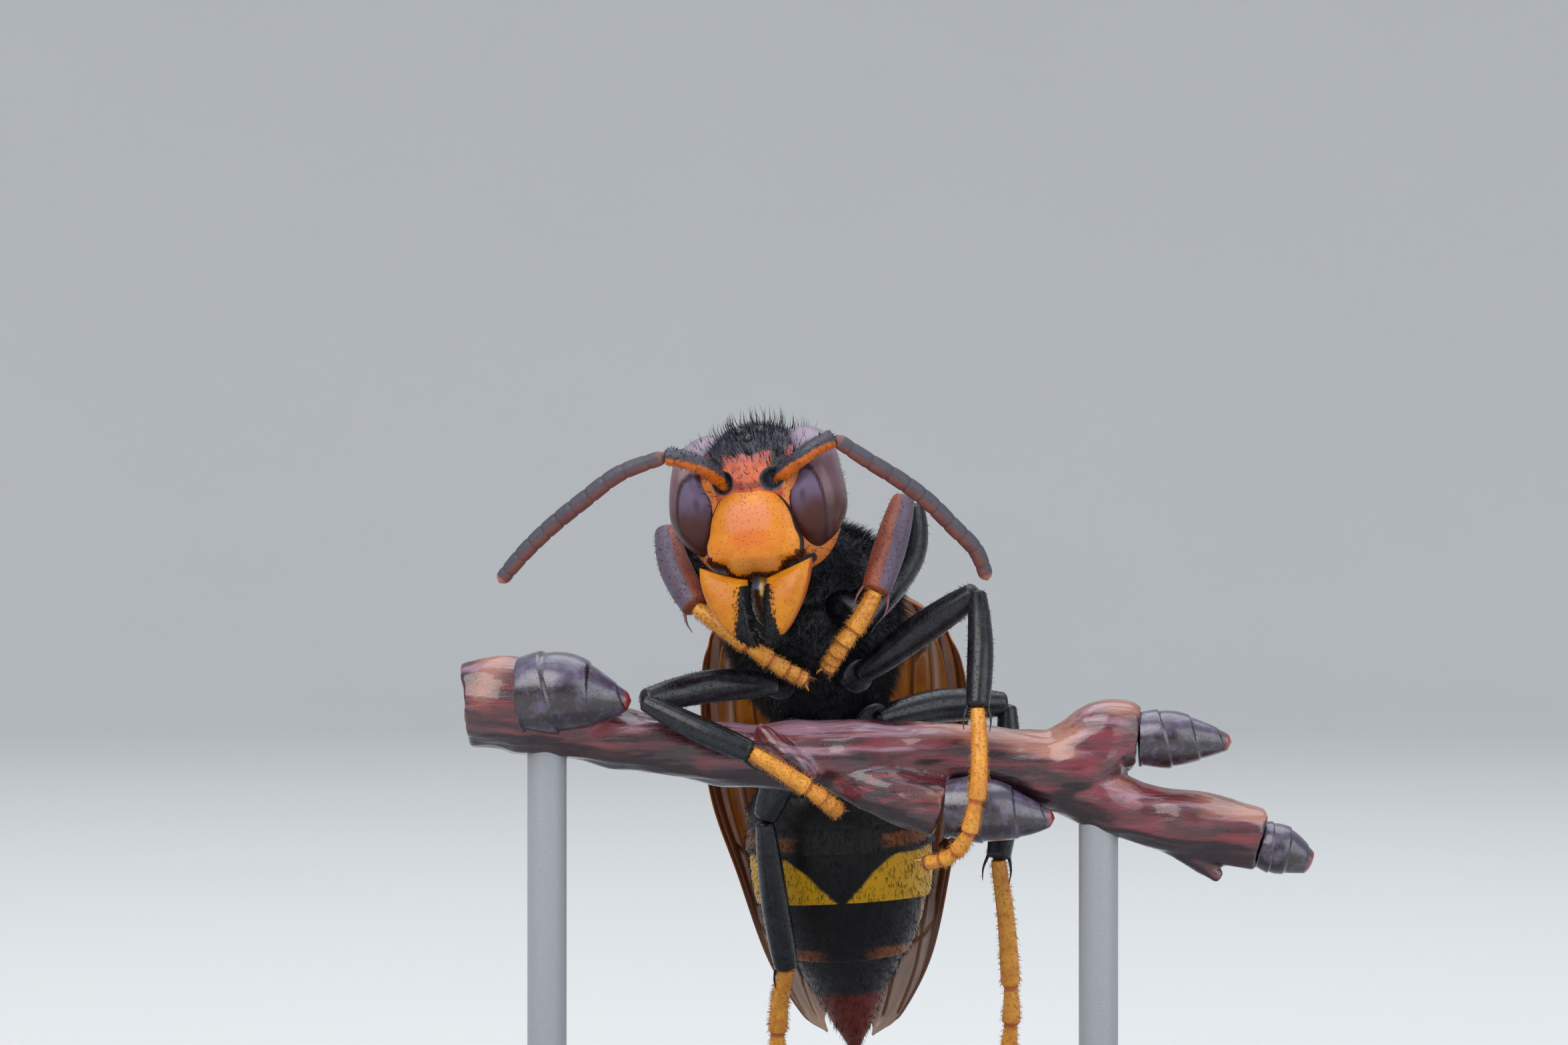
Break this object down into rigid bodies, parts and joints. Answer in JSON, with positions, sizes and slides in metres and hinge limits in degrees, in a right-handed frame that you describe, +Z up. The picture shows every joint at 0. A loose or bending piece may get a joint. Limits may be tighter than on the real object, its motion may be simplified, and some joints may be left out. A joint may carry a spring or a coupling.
{
  "type": "asian hornet model",
  "caption": "life-size asian hornet gripping a cut twig and facing forward, wings folded, held by two short rods over a flat base",
  "frame": {"origin": "middle of the flat underside of the stand's base", "axes": "+Z up; the hornet's face looks along -Y; +X runs along the twig and the base's longer side, to the hornet's left"},
  "size_m": [0.032, 0.027, 0.025],
  "materials": {
    "face_orange": "smooth, finely punctured shell with a soft shine",
    "jaw_yellow": "smooth shell with dark toothed edges",
    "shell_black": "black shell with a grey bloom and short dark hair",
    "shell_rust": "red-brown shell",
    "gaster_banded": "dark brown shell with yellow and orange bands",
    "leg_yellow": "yellow shell with rusty joints",
    "feeler_brown": "matt ringed feelers",
    "eye_brown": "glossy brown eyes with a mauve sheen",
    "wing_amber": "translucent amber membrane with dark veins",
    "bark_crimson": "maroon bark with pink and tan streaks",
    "bud_purple": "dark purple glossy bud scales",
    "stand_grey": "plain satin grey"
  },
  "bodies": {
    "root": {"antenna_flagellum_left": "feeler_brown", "antenna_flagellum_right": "feeler_brown", "antenna_scape_left": "face_orange", "antenna_scape_right": "face_orange", "clypeus": "face_orange", "eye_left": "eye_brown", "eye_right": "eye_brown", "forewing_left": "wing_amber", "forewing_right": "wing_amber", "front_left_coxa": "shell_black", "front_left_femur": "shell_black", "front_left_tarsus": "leg_yellow", "front_left_tibia": "shell_rust", "front_right_coxa": "shell_black", "front_right_femur": "shell_black", "front_right_tarsus": "leg_yellow", "front_right_tibia": "shell_rust", "gaster_segment_1": "gaster_banded", "gaster_segment_2": "gaster_banded", "gaster_segment_3": "gaster_banded", "gaster_segment_4": "gaster_banded", "gaster_segment_5": "gaster_banded", "gaster_segment_6": "gaster_banded", "head_capsule": "face_orange", "hind_left_coxa": "shell_black", "hind_left_femur": "shell_black", "hind_left_tarsus": "leg_yellow", "hind_left_tibia": "shell_black", "hind_right_coxa": "shell_black", "hind_right_femur": "shell_black", "hind_right_tarsus": "leg_yellow", "hind_right_tibia": "shell_black", "hindwing_left": "wing_amber", "hindwing_right": "wing_amber", "labrum": "shell_rust", "mandible_left": "jaw_yellow", "mandible_right": "jaw_yellow", "mesothorax": "shell_black", "mid_left_coxa": "shell_black", "mid_left_femur": "shell_black", "mid_left_tarsus": "leg_yellow", "mid_left_tibia": "shell_black", "mid_right_coxa": "shell_black", "mid_right_femur": "shell_black", "mid_right_tarsus": "leg_yellow", "mid_right_tibia": "shell_black", "pronotum": "shell_black", "propodeum": "shell_black", "stand_base": "stand_grey", "stand_rod_left": "stand_grey", "stand_rod_right": "stand_grey", "tegula_left": "shell_rust", "tegula_right": "shell_rust", "twig_bud_end": "bud_purple", "twig_bud_left": "bud_purple", "twig_bud_middle": "bud_purple", "twig_bud_upper": "bud_purple", "twig_stem": "bark_crimson"}
  },
  "joints": []
}
